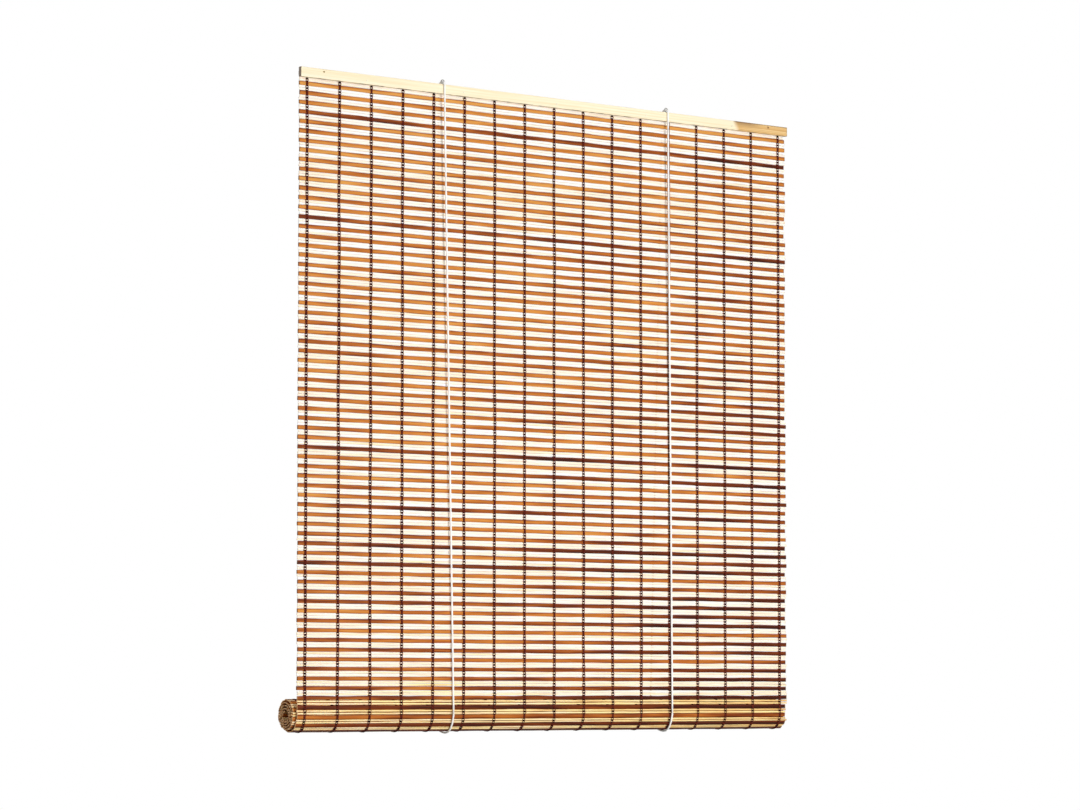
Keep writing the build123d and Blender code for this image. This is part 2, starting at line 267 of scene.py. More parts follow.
# cotton thread, two-ply and dyed dark: matt, its ply showing as light and dark specks
def dyedCotton():
    material, add = newMaterial("dyed cotton thread, two-ply")
    place = add("ShaderNodeTexCoord")
    # specks 1.4 mm apart: 700 to the metre
    lines = add("ShaderNodeMapping", {"Vector": place.outputs["Object"], "Scale": (700, 700, 700)})
    ply = add("ShaderNodeTexNoise", {"Vector": lines.outputs[0], "Scale": 1.0, "Detail": 1.0})
    dye = add("ShaderNodeValToRGB", {0: ply.outputs[0]},
              stops=[(0.3, "#471611"), (0.5, "#5E2219"), (0.72, "#7C3424")])
    # the twists in the gaps get painted shade, near black, and the single threads round a pale slat are worn
    # lighter
    twisted = add("ShaderNodeAttribute", attribute_name="twist")
    wornShare = add("ShaderNodeMapRange", {"Value": twisted.outputs["Fac"], "From Min": -1.0,
                                           "From Max": 0.0, "To Min": 0.75, "To Max": 0.0})
    worn = add("ShaderNodeMix", {0: wornShare.outputs[0], 6: dye.outputs[0], 7: linearColour("#8E4A3A")},
               data_type="RGBA")
    gapShadeShare = add("ShaderNodeMapRange", {"Value": twisted.outputs["Fac"]})
    gapShaded = add("ShaderNodeMix", {0: gapShadeShare.outputs[0], 6: worn.outputs[2], 7: linearColour("#160605")},
                 data_type="RGBA")
    bump = add("ShaderNodeBump", {"Height": ply.outputs[0], "Distance": 0.2 * mm, "Strength": 0.6})
    shader = add("ShaderNodeBsdfPrincipled", {"Base Color": gapShaded.outputs[2], "Roughness": 0.8,
                                              "Specular IOR Level": 0.06, "Normal": bump.outputs[0]})
    add("ShaderNodeOutputMaterial", {"Surface": shader.outputs[0]})
    return material


# cotton cord, braided and bleached: soft white with a fine herringbone of plaits
def braidedCotton():
    material, add = newMaterial("braided cotton cord, bleached")
    place = add("ShaderNodeUVMap", uv_map="braid")
    axes = add("ShaderNodeSeparateXYZ", {0: place.outputs[0]})
    # plaits 3 mm apart along the cord and eight round it, leaning both ways
    turn = add("ShaderNodeMath", {0: axes.outputs["X"], 1: 8 * math.pi}, operation="MULTIPLY")
    along = add("ShaderNodeMath", {0: axes.outputs["Y"], 1: 2 * math.pi / (3 * mm)}, operation="MULTIPLY")
    oneWay = add("ShaderNodeMath", {0: along.outputs[0], 1: turn.outputs[0]}, operation="ADD")
    otherWay = add("ShaderNodeMath", {0: along.outputs[0], 1: turn.outputs[0]}, operation="SUBTRACT")
    oneLean = add("ShaderNodeMath", {0: oneWay.outputs[0]}, operation="SINE")
    otherLean = add("ShaderNodeMath", {0: otherWay.outputs[0]}, operation="SINE")
    plait = add("ShaderNodeMath", {0: oneLean.outputs[0], 1: otherLean.outputs[0]}, operation="MAXIMUM")
    shade = add("ShaderNodeMapRange", {"Value": plait.outputs[0], "From Min": -0.6, "From Max": 1.0})
    white = add("ShaderNodeValToRGB", {0: shade.outputs[0]},
                stops=[(0.0, "#F0EDE6"), (0.45, "#FBF9F5"), (1.0, "#FFFFFC")])
    bump = add("ShaderNodeBump", {"Height": shade.outputs[0], "Distance": 0.15 * mm, "Strength": 0.4})
    shader = add("ShaderNodeBsdfPrincipled", {
        "Base Color": white.outputs[0], "Roughness": 0.75, "Normal": bump.outputs[0],
        "Subsurface Weight": 0.5, "Subsurface Radius": (1.0, 0.95, 0.9), "Subsurface Scale": 1.5 * mm})
    add("ShaderNodeOutputMaterial", {"Surface": shader.outputs[0]})
    return material


# steel wire, galvanised and aged: grey, half dull, with darker spots of oxide
def agedSteel():
    material, add = newMaterial("galvanised steel, aged")
    place = add("ShaderNodeTexCoord")
    # spots 1.2 mm across: 830 to the metre
    spots = add("ShaderNodeTexNoise", {"Vector": place.outputs["Object"], "Scale": 830.0, "Detail": 3.0})
    tarnish = add("ShaderNodeValToRGB", {0: spots.outputs[0]},
                  stops=[(0.35, "#B6B5B0"), (0.5, "#9E9B95"), (0.7, "#6C655C")])
    dull = add("ShaderNodeMapRange", {"Value": spots.outputs[0], "To Min": 0.32, "To Max": 0.6})
    shader = add("ShaderNodeBsdfPrincipled", {"Base Color": tarnish.outputs[0], "Metallic": 1.0,
                                              "Roughness": dull.outputs[0]})
    add("ShaderNodeOutputMaterial", {"Surface": shader.outputs[0]})
    return material


# steel pins, bright zinc: pale and half dull, so that they hardly show on the pine
def brightZinc():
    material, add = newMaterial("zinc-bright steel pin")
    place = add("ShaderNodeTexCoord")
    # a spangle 0.8 mm across: 1250 to the metre
    spangle = add("ShaderNodeTexNoise", {"Vector": place.outputs["Object"], "Scale": 1250.0, "Detail": 2.0})
    zinc = add("ShaderNodeValToRGB", {0: spangle.outputs[0]}, stops=[(0.35, "#F5EDD9"), (0.7, "#D3C9B2")])
    dull = add("ShaderNodeMapRange", {"Value": spangle.outputs[0], "To Min": 0.4, "To Max": 0.6})
    shader = add("ShaderNodeBsdfPrincipled", {"Base Color": zinc.outputs[0], "Metallic": 1.0,
                                              "Roughness": dull.outputs[0]})
    add("ShaderNodeOutputMaterial", {"Surface": shader.outputs[0]})
    return material


willowStained, willowPeeled, pinSteel = stainedWillow(), peeledWillow(), brightZinc()
pine, thread, cordCotton, steel = planedPine(), dyedCotton(), braidedCotton(), agedSteel()
print("materials made")


# corner numbers of sweeps laid out as (sweep, station, ring point): four-sided walls and one cap at each end
def sweepFaces(sweeps, stations, ring):
    index = np.arange(sweeps * stations * ring).reshape(sweeps, stations, ring)
    beside = np.roll(index, -1, axis=2)
    walls = np.stack([index[:, :-1], beside[:, :-1], beside[:, 1:], index[:, 1:]], axis=-1).reshape(-1, 4)
    return [walls, index[:, 0, ::-1], index[:, -1, :]]


triangleCounts = {}


# a piece from points and faces: the faces are turned round if the enclosed volume comes out negative
def addPiece(name, points, faces, body, material, values=None, uv=None):
    points = np.asarray(points, float).reshape(-1, 3)
    corners = [points[group] for group in faces]
    volume = sum(np.einsum("ij,ij->", corner[:, 0], np.cross(corner[:, k], corner[:, k + 1]))
                 for corner in corners for k in range(1, corner.shape[1] - 1))
    if volume < 0:
        faces = [group[:, ::-1] for group in faces]
    mesh = bpy.data.meshes.new(name)
    mesh.from_pydata(points.tolist(), [], [face for group in faces for face in group.tolist()])
    mesh.polygons.foreach_set("use_smooth", np.ones(len(mesh.polygons), bool))
    for key, array in (values or {}).items():
        flat = np.asarray(array, np.float32).reshape(len(points), -1)
        kind, field = ("FLOAT_VECTOR", "vector") if flat.shape[1] == 3 else ("FLOAT", "value")
        mesh.attributes.new(key, kind, "POINT").data.foreach_set(field, flat.ravel())
    if uv is not None:
        layer = mesh.uv_layers.new(name=uv[0])
        loops = np.zeros(len(mesh.loops), np.int32)
        mesh.loops.foreach_get("vertex_index", loops)
        layer.data.foreach_set("uv", np.asarray(uv[1], np.float32)[loops].ravel())
    mesh.materials.append(material)
    mesh.update()
    triangleCounts[name] = sum(len(group) * (group.shape[1] - 2) for group in faces)
    piece = bpy.data.objects.new(name, mesh)
    bpy.context.scene.collection.objects.link(piece)
    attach(piece, body)
    return piece


# a tube: at each path point a ring stands square to the path, one arm across the side direction and the other
# square to that arm
def tubeRings(paths, side, wide, deep, sides):
    tangent = np.gradient(paths, axis=1)
    tangent /= np.linalg.norm(tangent, axis=2, keepdims=True)
    first = np.cross(tangent, side)
    first /= np.linalg.norm(first, axis=2, keepdims=True)
    second = np.cross(first, tangent)
    turn = 2 * np.pi * np.arange(sides) / sides
    wide, deep = (np.reshape(np.broadcast_to(arm, paths.shape[1]), (1, -1, 1, 1)) for arm in (wide, deep))
    return (paths[:, :, None, :] + wide * np.cos(turn)[:, None] * first[:, :, None, :]
            + deep * np.sin(turn)[:, None] * second[:, :, None, :])


# the points of a smooth spline drawn by a route's control points
def routePoints(controls, fineness):
    curve = bpy.data.curves.new("route", "CURVE")
    curve.dimensions = "3D"
    spline = curve.splines.new("NURBS")
    spline.points.add(len(controls) - 1)
    spline.points.foreach_set("co", np.c_[controls, np.ones(len(controls))].ravel())
    spline.order_u = 3
    spline.use_endpoint_u = True
    spline.resolution_u = fineness
    carrier = bpy.data.objects.new("route", curve)
    line = bpy.data.meshes.new_from_object(carrier)
    points = np.zeros(len(line.vertices) * 3)
    line.vertices.foreach_get("co", points)
    bpy.data.objects.remove(carrier)
    bpy.data.curves.remove(curve)
    bpy.data.meshes.remove(line)
    return points.reshape(-1, 3)


# the braid's map: half the way round a ring and back, and the running length at each ring
def braidMap(run, sides):
    turn = np.abs(2 * np.arange(sides) / sides - 1)
    return "braid", np.stack(np.broadcast_arrays(turn[None, :], run[:, None]), axis=-1).reshape(-1, 2)


# lift cords in mm; front and back are routes of depth and height above the eyes, from the knot over the
# headrail's edge to a point below it that keeps the long run straight; the bight goes round the roll about a
# millimetre off its skin, as depth and height above the roll's axis
cordSettings = {"diameter": 3.0, "sides": 12, "side": (1.0, 0.02, 0.01), "eyeLevel": 8.7,
                "footLevel": -1030.0, "top": {"left": -227.0, "right": 234.0},
                "foot": {"left": -203.5, "right": 245.0},
                "front": ((-2.7, 0.0), (-9.5, 0.6), (-8.8, -18.0)),
                "back": ((2.3, 0.0), (7.5, 0.0), (8.5, -18.0)),
                "footDepth": {"front": -3.2, "back": 59.4},
                "bight": ((-3.2, 0.0), (-1.1, -10.4), (3.1, -19.5), (7.3, -24.9), (12.1, -28.0),
                          (17.4, -29.7), (23.5, -30.1), (31.5, -29.1), (41.0, -25.9), (50.5, -20.0),
                          (57.5, -10.6), (59.4, 0.0)),
                "bendReach": 30.0, "runFineness": 48, "bightFineness": 24}


# a cord piece: a round tube along its path, with its braid map laid along its length
def addCord(name, path, body, node):
    sides, diameter = cordSettings["sides"], cordSettings["diameter"] * mm
    rings = tubeRings(path[None], np.array(cordSettings["side"]), diameter / 2, diameter / 2, sides)
    run = np.r_[0, np.cumsum(np.linalg.norm(np.diff(path, axis=0), axis=1))]
    piece = addPiece(name, rings, sweepFaces(1, len(path), sides), body, cordCotton,
                     uv=braidMap(run, sides))
    if node:
        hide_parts(node)
    return piece


for sideName in ("left", "right"):
    cord = cordSettings
    top, foot = cord["top"][sideName], cord["foot"][sideName]
    for face in ("front", "back"):
        route = [(top, depth, cord["eyeLevel"] + height) for depth, height in cord[face]]
        route.append((foot, cord["footDepth"][face], cord["footLevel"]))
        path = routePoints(np.array(route) * mm, cord["runFineness"])
        split = int(np.argmax(path[:, 2] < (cord["eyeLevel"] - cord["bendReach"]) * mm))
        addCord(f"cordBend_{face}_{sideName}", path[:split + 1], "headrail", None)
        straight = addCord(f"cordRun_{face}_{sideName}", path[split:], "headrail",
                           f"cord_{face}_{sideName}")
        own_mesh(straight)
    under = [(foot, depth, rollAxisLevel + height) for depth, height in cord["bight"]]
    addCord(f"cordBight_{sideName}", routePoints(np.array(under) * mm, cord["bightFineness"]), "lift_loops",
            f"cord_bight_{sideName}")
print("cords made")

# overhand knots behind the eyes, in mm: a trefoil line with a round tube on it, closed on itself
knotSettings = {"radius": 1.6, "depth": 1.3, "tube": 1.2, "middle": -0.2, "stations": 72, "sides": 8,
                "side": (0.0, 1.0, 0.05), "runPerRadian": 3.0}
for sideName in ("left", "right"):
    knot, sides = knotSettings, knotSettings["sides"]
    turn = np.linspace(0, 2 * np.pi, knot["stations"], endpoint=False)
    x = cordSettings["top"][sideName] + knot["radius"] * (np.sin(turn) + 2 * np.sin(2 * turn)) / 3
    y = knot["middle"] - knot["depth"] * np.sin(3 * turn)
    z = cordSettings["eyeLevel"] + knot["radius"] * (np.cos(turn) - 2 * np.cos(2 * turn)) / 3
    loop = np.stack([x, y, z], axis=-1)
    wrapped = np.concatenate([loop[-1:], loop, loop[:2]]) * mm
    tube = knot["tube"] * mm
    rings = tubeRings(wrapped[None], np.array(knot["side"]), tube, tube, sides)[0, 1:-2]
    index = np.arange(len(rings) * sides).reshape(-1, sides)
    ahead, beside = np.roll(index, -1, axis=0), np.roll(index, -1, axis=1)
    walls = np.stack([index, beside, np.roll(ahead, -1, axis=1), ahead], axis=-1).reshape(-1, 4)
    piece = addPiece(f"stopKnot_{sideName}", rings, [walls], "headrail", cordCotton,
                     uv=braidMap(turn * knot["runPerRadian"] * mm, sides))
    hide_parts(f"cord_knot_{sideName}")
print("knots made")

# the woven mat in mm, measured down the sheet from its top edge; past the foot it winds into the roll
matSettings = {"topLevel": -1.85, "repeat": 15.35, "repeats": 67, "topRepeats": 8, "rolledRepeats": 36,
               "gap": 0.65, "brownHeight": 6.6, "brownDepth": 2.0, "paleHeight": 3.4, "paleDepth": 1.4,
               "middle": 1.0, "halfWidth": 498.5, "axisDepth": 28.5, "rollRadius": 28.5, "turnPitch": 4.2,
               "sag": 2.5, "lean": 6.0, "slip": -5.0, "slipStart": 60.0, "slipRun": 100.0,
               "onRollRepeats": 2.2, "onRollFade": 8.0}
footLength = matSettings["repeat"] * matSettings["repeats"]


# place on the sheet to place in space: flat and upright as far as the foot, then a spiral whose radius
# shrinks by one turn pitch a turn, its inner turns sagging and slipped to the left; its lower half leans
# forward by the cube of the drop below the axis
def sheetToSpace(x, run, depth):
    mat = matSettings
    radius, pitch = mat["rollRadius"], mat["turnPitch"]
    x, run, depth = np.broadcast_arrays(x, run, depth)
    wound = np.clip(run - footLength, 0, None)
    angle = (radius - np.sqrt(radius ** 2 - pitch * wound / np.pi)) * 2 * np.pi / pitch
    wrap = pitch * angle / (2 * np.pi)
    reach = radius - wrap - depth
    y, z = mat["axisDepth"] - reach * np.cos(angle), -reach * np.sin(angle)
    y = y - mat["lean"] * np.clip(-z / radius, 0, 1) ** 3
    y = np.where(run > footLength, y, depth)
    x = x + mat["slip"] * np.clip((wound - mat["slipStart"]) / mat["slipRun"], 0, 1)
    z = np.where(run > footLength, rollAxisLevel + z - mat["sag"] * wrap / radius, mat["topLevel"] - run)
    return np.stack([x, y, z], axis=-1) * mm


# how far a strip lies over the roll: 0 on the flat mat, rising to 1 from some repeats above the foot
def onRollShare(middles, repeatsAbove):
    above = repeatsAbove * matSettings["repeat"]
    return np.clip((middles - footLength + above) / matSettings["onRollFade"], 0, 1)


# how many waves a wander has, their lengths as shares of the given one, and the divisor that calms their sum
wanderSettings = {"waves": 4, "shortest": 0.5, "longest": 1.8, "calm": 2.4}


# a sum of sine waves of random phase, their lengths near the given one: a slow wander from about -1 to 1
def wander(x, length):
    waves = wanderSettings
    lengths = length * rng.uniform(waves["shortest"], waves["longest"], (len(x), waves["waves"], 1))
    phases = rng.uniform(0, 2 * np.pi, (len(x), waves["waves"], 1))
    return np.sin(2 * np.pi * x[:, None, :] / lengths + phases).sum(axis=1) / waves["calm"]


# all slats: waves in mm and their shares, slimming on the roll, the step that finds directions, grain spread
slatSettings = {"endShare": 0.0015, "longWave": 150.0, "longShare": 0.75, "shortWave": 60.0,
                "shortShare": 0.45, "bowWave": 300.0, "rollSlim": 0.08, "probe": 0.5, "grainSpread": 9.0}


# a long edge's wander: a long wave and a short one
def edgeWander(x):
    slat = slatSettings
    slow = slat["longShare"] * wander(x, slat["longWave"])
    return slow + slat["shortShare"] * wander(x, slat["shortWave"])


# slats: a rectangle with cut corners carried along x; both long edges wander, the face bows, the ends are
# ragged, and on the roll a slat is slimmer and its edges wander twice as far
def slatRods(middles, height, thickness, look):
    mat, slat, count = matSettings, slatSettings, len(middles)
    share = np.r_[0, np.linspace(slat["endShare"], 1 - slat["endShare"], look["stations"] - 2), 1]
    left = -mat["halfWidth"] - rng.uniform(-1, 1, (count, 1)) * look["leftSpread"]
    right = mat["halfWidth"] + rng.uniform(-1, 1, (count, 1)) * look["rightSpread"]
    x = left + (right - left) * share
    arm, face, cut = height / 2, thickness / 2, look["corner"]
    up = np.array([arm - cut, cut - arm, -arm, -arm, cut - arm, arm - cut, arm, arm])
    deep = np.array([-face, -face, cut - face, face - cut, face, face, face - cut, cut - face])
    onRoll = onRollShare(middles, mat["onRollRepeats"])[:, None]
    waves = look["edgeWave"] * (1 + onRoll)
    upper = waves * edgeWander(x)
    lower = waves * edgeWander(x)
    tilt = rng.uniform(-1, 1, (count, 1, 1)) * look["tilt"]
    slim = 1 - slat["rollSlim"] * onRoll[..., None]
    upAll = slim * up + np.where(up > 0, upper[..., None], lower[..., None]) * (np.abs(up) / arm)
    deepAll = deep + wander(x, slat["bowWave"])[..., None] * look["bow"] + tilt * up / arm
    # each slat's own centre, and the directions up the sheet and into it
    centre = sheetToSpace(0.0, middles, mat["middle"])
    upward = (sheetToSpace(0.0, middles - slat["probe"], mat["middle"])
              - sheetToSpace(0.0, middles + slat["probe"], mat["middle"]))
    upward[:, 0] = 0
    upward /= np.linalg.norm(upward, axis=1, keepdims=True)
    inward = np.stack([np.zeros(count), upward[:, 2], -upward[:, 1]], axis=-1)
    points = (centre[:, None, None, :] + inward[:, None, None, :] * deepAll[..., None] * mm
              + upward[:, None, None, :] * upAll[..., None] * mm)
    points[..., 0] = x[..., None] * mm + centre[:, 0][:, None, None]
    # what the wood reads: tone, place across the strip, grain, sawn ends and place on the roll
    seed = np.broadcast_to(rng.uniform(0, slat["grainSpread"], (count, 1, 1)), upAll.shape)
    grain = np.stack([points[..., 0] + seed, (upAll + deepAll) * mm, seed], axis=-1)
    tone = look["tone"](middles, x)
    sawn = ((share == 0) | (share == 1))[None, :]
    values = {name: np.broadcast_to(array[..., None], upAll.shape)
              for name, array in (("tone", tone), ("cut", sawn), ("shade", onRoll))}
    values.update({"across": np.clip(upAll / arm, -1, 1), "grain": grain})
    return points, values, sweepFaces(count, look["stations"], len(up))


# tones from 0, golden, to 1, near black, with places and lengths in mm
stainSettings = {"base": 0.195, "down": 0.25, "spread": 0.13, "darker": 0.3, "lighter": 0.16,
                 "darkRows": (4, 15, 17, 28, 39, 45, 49, 51, 55, 60, 64),
                 "lightRows": (1, 14, 25, 31, 42, 47), "rollShadeTones": (0.62, 0.84, 0.5, 0.8, 1.0),
                 "rowsAboveFoot": 2, "blotch": 0.11, "blotchLength": 300.0, "rightStart": -150.0,
                 "rightRun": 640.0, "rightLeast": 0.15, "rightMost": 0.65, "rightAtTop": 0.2}


# stained strips deepen from golden to brown down the mat and to the right; some rows are darker or lighter
# than the rest, and the strips round the roll's front have tones of their own with painted shade, darkest at
# its foot
def stainTone(middles, x):
    mat, stain = matSettings, stainSettings
    row = np.rint((middles - mat["brownHeight"] / 2) / mat["repeat"]).astype(int)
    down = middles / footLength
    base = stain["base"] + stain["down"] * down
    base = base + rng.uniform(-stain["spread"], stain["spread"], len(middles))
    base = base + stain["darker"] * np.isin(row, stain["darkRows"])
    base = base - stain["lighter"] * np.isin(row, stain["lightRows"])
    # painted shade: the strips round the roll's front get darker tones, the darkest at its foot
    rollRow, lastTone = row - mat["repeats"] + stain["rowsAboveFoot"], len(stain["rollShadeTones"]) - 1
    ownTone = np.take(stain["rollShadeTones"], np.clip(rollRow, 0, lastTone))
    base = np.where((rollRow >= 0) & (rollRow <= lastTone), ownTone, base)
    toRight = np.clip((x - stain["rightStart"]) / stain["rightRun"], 0, 1)
    toRight = toRight * rng.uniform(stain["rightLeast"], stain["rightMost"], (len(x), 1))
    toRight = toRight * (stain["rightAtTop"] + down[:, None])
    return np.clip(base[:, None] + stain["blotch"] * wander(x, stain["blotchLength"]) + toRight, 0, 1)


# tones from 0, near white, to 1, tan, with places and lengths in mm
rawSettings = {"spread": 0.2, "down": 0.2, "onRoll": 0.48, "onRollRepeats": 2.1, "blotch": 0.1,
               "blotchLength": 260.0, "right": 0.22, "rightStart": -50.0, "rightRun": 500.0, "yellowPatch": 0.4,
               "yellowPatchAt": -225.0, "yellowPatchWide": 55.0, "yellowPatchAboveFoot": 42.0, "yellowPatchHigh": 11.0}


# peeled strips are near white, and painted shade makes them yellower over the roll and in it, most of all to
# the right; a bell-shaped yellow patch sits beside the left cord, above the roll
def rawTone(middles, x):
    raw = rawSettings
    overRoll = onRollShare(middles, raw["onRollRepeats"])
    flat = raw["down"] * (middles / footLength) ** 2
    base = rng.uniform(0.0, raw["spread"], len(middles))
    # painted shade: yellower over the roll and in it, where the roll keeps the light from behind
    base = base + np.where(overRoll > 0, raw["onRoll"] * overRoll, flat)
    sideways = (x - raw["yellowPatchAt"]) / raw["yellowPatchWide"]
    upwards = (middles[:, None] - footLength + raw["yellowPatchAboveFoot"]) / raw["yellowPatchHigh"]
    yellowPatch = raw["yellowPatch"] * np.exp(-sideways ** 2 - upwards ** 2)
    toRight = raw["right"] * overRoll[:, None] * np.clip((x - raw["rightStart"]) / raw["rightRun"], 0, 1)
    return np.clip(base[:, None] + raw["blotch"] * wander(x, raw["blotchLength"]) + yellowPatch + toRight, 0, 1)


# each kind of slat in mm: stations along it, spread of its ends, cut corners, wave of its edges, bow and tilt
brownLook = {"stations": 46, "leftSpread": 0.8, "rightSpread": 2.2, "corner": 0.35, "edgeWave": 0.32,
             "bow": 0.12, "tilt": 0.12, "tone": stainTone}
paleLook = {"stations": 42, "leftSpread": 0.9, "rightSpread": 2.4, "corner": 0.25, "edgeWave": 0.2,
            "bow": 0.12, "tilt": 0.1, "tone": rawTone}
rolledLook = {"stations": 20, "leftSpread": 0.6, "rightSpread": 3.0, "corner": 0.45, "edgeWave": 0.2,
              "bow": 0.3, "tilt": 0.25}
brownMiddle = matSettings["brownHeight"] / 2
paleStep = matSettings["gap"] + matSettings["paleHeight"]
paleMiddles = matSettings["brownHeight"] + np.array([1, 2]) * paleStep - matSettings["paleHeight"] / 2


# the brown and the pale slats of some repeats as two pieces; those that flatten go towards the top repeats
def addSlats(prefix, first, last, body, node, overrides, flattens):
    mat = matSettings
    starts = np.arange(first, last) * mat["repeat"]
    brown = slatRods(starts + brownMiddle, mat["brownHeight"], mat["brownDepth"], {**brownLook, **overrides})
    pale = slatRods((starts[:, None] + paleMiddles).ravel(), mat["paleHeight"], mat["paleDepth"],
                    {**paleLook, **overrides})
    for ending, built, material in (("Brown", brown, willowStained), ("Pale", pale, willowPeeled)):
        points, values, faces = built
        piece = addPiece(prefix + ending, points, faces, body, material, values)
        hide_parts(node)
        if flattens:
            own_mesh(piece)


repeats, topRepeats, rolledRepeats = (matSettings[key] for key in ("repeats", "topRepeats", "rolledRepeats"))
addSlats("slatsTop", 0, topRepeats, "headrail", "slat_mat", {}, False)
addSlats("slats", topRepeats, repeats, "headrail", "slat_mat", {}, True)
addSlats("slatsRolled", repeats, repeats + rolledRepeats, "roll", "roll", rolledLook, False)
print("slats made")

# warps in mm; twistRings are a twist's rings, as shares of its half height and of its width and depth
warpSettings = {"count": 17, "first": -484.0, "spacing": 60.5, "radius": 0.68, "paleWide": 0.55,
                "brownWide": 1.15, "brownNarrow": 0.7, "paleBow": 2.45, "brownBow": 1.1, "bowPower": 0.45,
                "bowSpread": 0.16, "frontDip": 0.45, "frontStart": 10.9, "outerRepeats": 10,
                "rolledProud": 0.35, "sway": 0.5, "swayLength": 260.0, "sides": 4, "samples": 5,
                "backSamples": 3, "probe": 0.2, "twistWide": 2.6, "twistDeep": 1.0, "twistHigh": 1.7,
                "brownTwist": 0.55, "twistSides": 5, "topClear": 0.2,
                "twistRings": ((-1.0, 0.5), (-0.45, 1.0), (0.45, 1.0), (1.0, 0.5))}


# warps: two threads that cross in every gap and part round every slat by a power of a half sine, closer on
# the brown ones, with a twist at each gap: a short barrel, narrow at both ends and lower beside a brown slat
def warpThreads(columns, first, last, front):
    warp, mat = warpSettings, matSettings
    # gaps above a brown slat, below it and between two pale ones; the headrail hides the first on the front
    betweenPales = mat["brownHeight"] + 1.5 * mat["gap"] + mat["paleHeight"]
    gaps = np.array([-mat["gap"] / 2, mat["brownHeight"] + mat["gap"] / 2, betweenPales])
    starts = (np.arange(first, last)[:, None] * mat["repeat"] + gaps).ravel()
    ends = np.append(starts[1:], last * mat["repeat"] - mat["gap"] / 2)
    pale = np.tile([0.0, 1.0, 1.0], last - first)
    inSight = starts > (warp["frontStart"] if front else -mat["gap"])
    starts, ends, pale = starts[inSight], ends[inSight], pale[inSight]
    samples = warp["samples"] if front else warp["backSamples"]
    part = np.arange(samples) / samples
    run = np.append((starts[:, None] + part * (ends - starts)[:, None]).ravel(), ends[-1])
    swell = np.append(np.tile(np.sin(np.pi * part) ** warp["bowPower"], len(starts)), 0.0)
    isPale = np.append(np.repeat(pale, samples), pale[-1])
    cell = np.append(np.repeat(np.arange(len(starts)), samples), len(starts))
    # sideways: the two threads bow apart and change sides at each gap
    uneven = 1 + warp["bowSpread"] * rng.uniform(-1, 1, (len(columns), len(starts) + 1))[:, cell]
    sway = warp["sway"] * wander(np.broadcast_to(run, (len(columns), len(run))), warp["swayLength"])
    bow = np.where(isPale > 0, warp["paleBow"], warp["brownBow"])
    side = np.where(cell % 2 == 0, 1.0, -1.0) * bow * swell * uneven
    line = columns[:, None] + sway
    x = np.stack([line + side, line - side], axis=1).reshape(-1, len(run))
    # in depth: on the slat's face, and dipping into the gap where they cross
    step = (mat["brownDepth"] - mat["paleDepth"]) / 2
    onRoll = first >= mat["repeats"]
    proud = np.where(isPale > 0, step, 0.0) - warp["radius"] * (warp["rolledProud"] if onRoll else 1.0)
    crossing = step / 2 - warp["radius"] + warp["frontDip"]
    depth = crossing + (proud - crossing) * swell
    depth = depth if front else mat["brownDepth"] - depth
    inward = sheetToSpace(x, run, depth + warp["probe"]) - sheetToSpace(x, run, depth - warp["probe"])
    inward /= np.linalg.norm(inward, axis=2, keepdims=True)
    brownWide = warp["brownWide"] * (warp["brownNarrow"] + (1 - warp["brownNarrow"]) * swell)
    wide = np.where(isPale > 0, warp["paleWide"], brownWide)
    threads = tubeRings(sheetToSpace(x, run, depth), inward, wide * mm, warp["radius"] * mm, warp["sides"])
    faces = sweepFaces(len(x), len(run), warp["sides"])
    # the twists, laid out as (warp, gap, ring, ring point)
    gapAt = np.arange(len(starts)) * samples
    along, broad = np.array(warp["twistRings"]).T[..., None]
    turn = 2 * np.pi * np.arange(warp["twistSides"]) / warp["twistSides"]
    tall = np.where(np.isclose(np.mod(starts, mat["repeat"]), betweenPales), 1.0, warp["brownTwist"])
    twistX = line[:, gapAt][:, :, None, None] + warp["twistWide"] * np.cos(turn) * broad
    twistRun = starts[None, :, None, None] + tall[None, :, None, None] * along * warp["twistHigh"]
    twistDepth = depth[gapAt][None, :, None, None] + warp["twistDeep"] * np.sin(turn) * broad
    twists = sheetToSpace(twistX, np.maximum(twistRun, warp["topClear"]), twistDepth)
    twistFaces = sweepFaces(len(columns) * len(starts), len(along), warp["twistSides"])
    faces += [group + threads.size // 3 for group in twistFaces]
    # what the thread reads: 1 on a twist, down to -1 on the open thread round a pale slat
    worn = np.broadcast_to((-isPale * swell)[None, :, None], threads.shape[:3]).ravel()
    twisted = np.r_[worn, np.ones(twists.size // 3)]
    return np.concatenate([threads.reshape(-1, 3), twists.reshape(-1, 3)]), faces, twisted


# the threads of some warps on the front, and on the back if asked, as one piece
def addWarps(name, columns, first, last, body, withBack):
    points, faces, twist, offset = [], [], [], 0
    for front in (True, False) if withBack else (True,):
        facePoints, corners, twisted = warpThreads(columns, first, last, front)
        points.append(facePoints)
        twist.append(twisted)
        faces += [group + offset for group in corners]
        offset += len(facePoints)
    return addPiece(name, np.concatenate(points), faces, body, thread,
                    {"twist": np.concatenate(twist)})


columns = warpSettings["first"] + warpSettings["spacing"] * np.arange(warpSettings["count"])
addWarps("warpsTop", columns, 0, topRepeats, "headrail", True)
for number, column in enumerate(columns, 1):
    piece = addWarps(f"warp{number:02d}", np.array([column]), topRepeats, repeats, "headrail", True)
    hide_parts(f"warp_{number:02d}")
    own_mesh(piece)
piece = addWarps("warpsRolled", columns, repeats, repeats + warpSettings["outerRepeats"], "roll", False)
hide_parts("roll_warps")
print("warps made")

# the batten, its nails and the wire eyes keep their solids
for nodeName, material in (("headrail", pine), ("headrail_nails", pinSteel), ("screw_eye_left", steel),
                           ("screw_eye_right", steel)):
    for holder in nodes[nodeName].material_slots:
        holder.material = material
print("headrail dressed")

